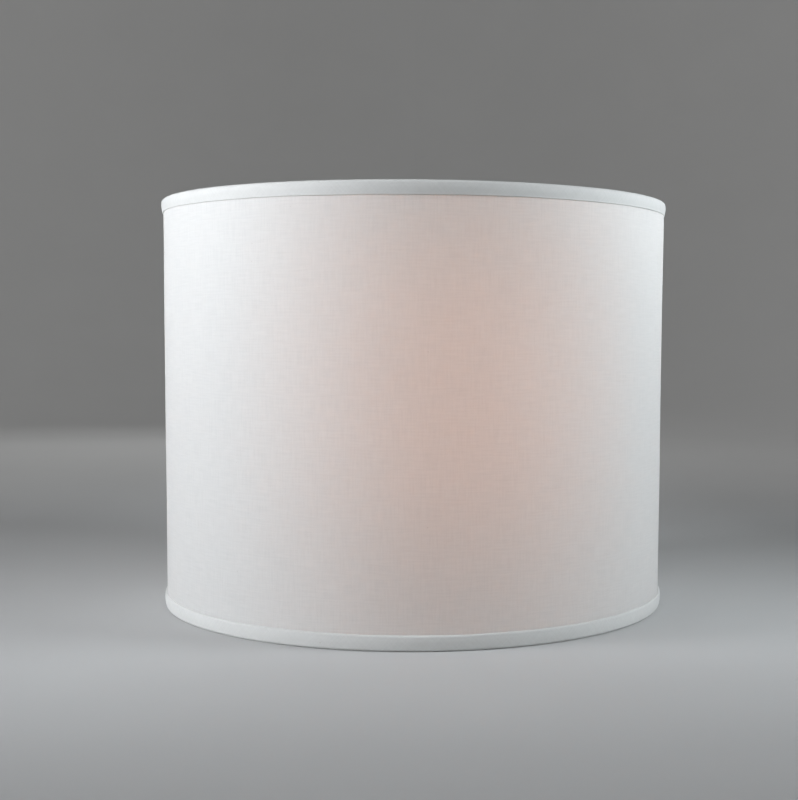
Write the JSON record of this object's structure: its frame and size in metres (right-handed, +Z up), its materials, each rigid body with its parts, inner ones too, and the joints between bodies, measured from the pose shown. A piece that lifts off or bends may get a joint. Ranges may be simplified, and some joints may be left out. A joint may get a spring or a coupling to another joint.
{
  "type": "lamp shade",
  "caption": "White fabric drum lamp shade with folded trims top and bottom, a stiff liner and a recessed washer fitter.",
  "frame": {"origin": "centre of the lower rim, on the plane that the shade stands on", "axes": "+Z up along the drum's axis, towards the fitter; -Y the front; +Y the lapped seam at the back; +X to the right seen from the front"},
  "size_m": [0.3838, 0.3838, 0.305],
  "materials": {
    "cover_fabric": "plain woven, off-white, lets light through",
    "trim_fabric": "plain woven, folded double, a little cooler and whiter than the cover",
    "liner": "smooth satin, translucent white",
    "tape": "clear adhesive film",
    "ring_wire": "white coated wire",
    "fitter_metal": "satin nickel plate"
  },
  "bodies": {
    "root": {"fabric_cover": "cover_fabric", "styrene_liner": "liner", "seam_tape": "tape", "top_trim": "trim_fabric", "bottom_trim": "trim_fabric", "top_ring": "ring_wire", "bottom_ring": "ring_wire", "spoke_front": "fitter_metal", "spoke_right": "fitter_metal", "spoke_left": "fitter_metal", "fitter_washer": "fitter_metal"}
  },
  "joints": []
}
